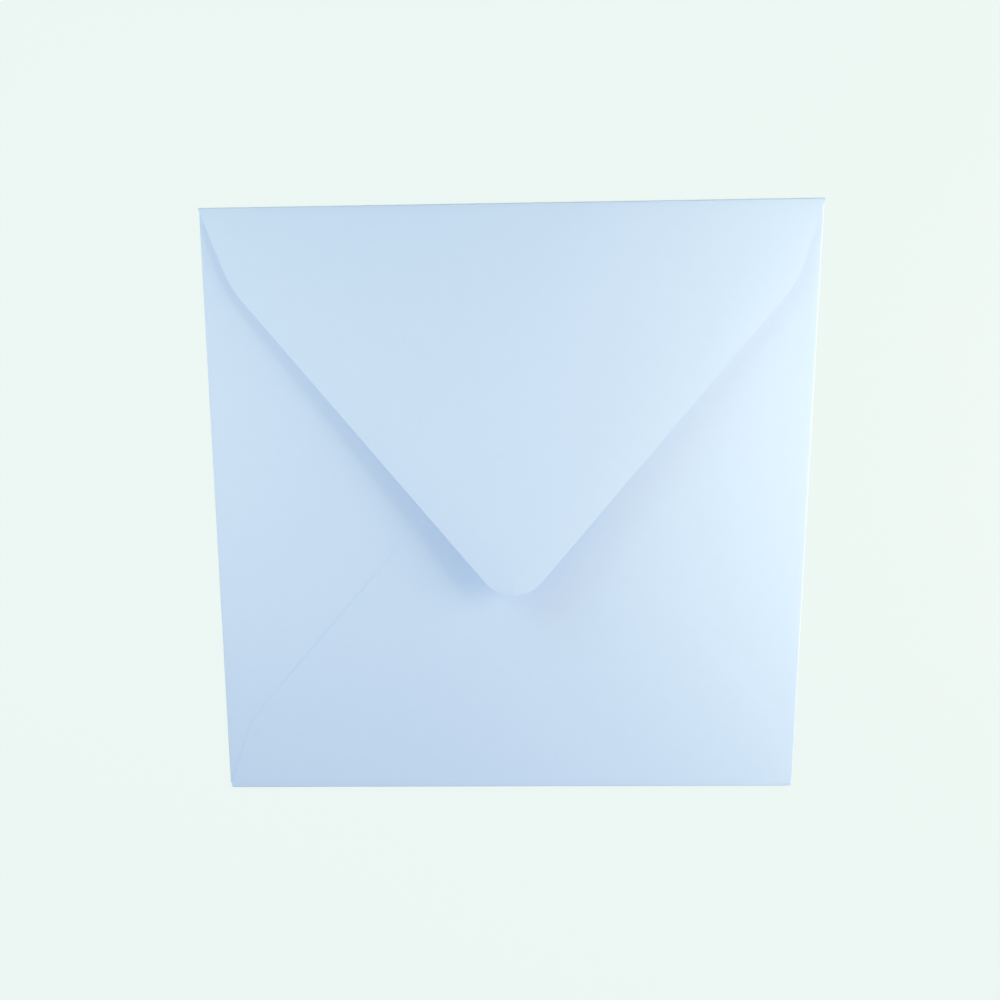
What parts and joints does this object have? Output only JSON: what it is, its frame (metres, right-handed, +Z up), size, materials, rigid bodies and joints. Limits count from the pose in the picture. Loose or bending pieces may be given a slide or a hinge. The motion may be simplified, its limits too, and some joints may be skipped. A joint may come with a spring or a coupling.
{
  "type": "paper envelope",
  "caption": "Square pale blue paper envelope, empty and unsealed, lying on its face with the pointed seal flap folded down over the back.",
  "frame": {"origin": "under the middle of the face, in the plane that the envelope lies on", "axes": "+X along the seal flap's fold, +Y from the bottom fold towards the seal flap's fold, +Z up out of the back"},
  "size_m": [0.155, 0.155, 0.0075],
  "materials": {
    "paper": "smooth uncoated pale blue paper, matt"
  },
  "bodies": {
    "root": {"envelope": "paper"}
  },
  "joints": []
}
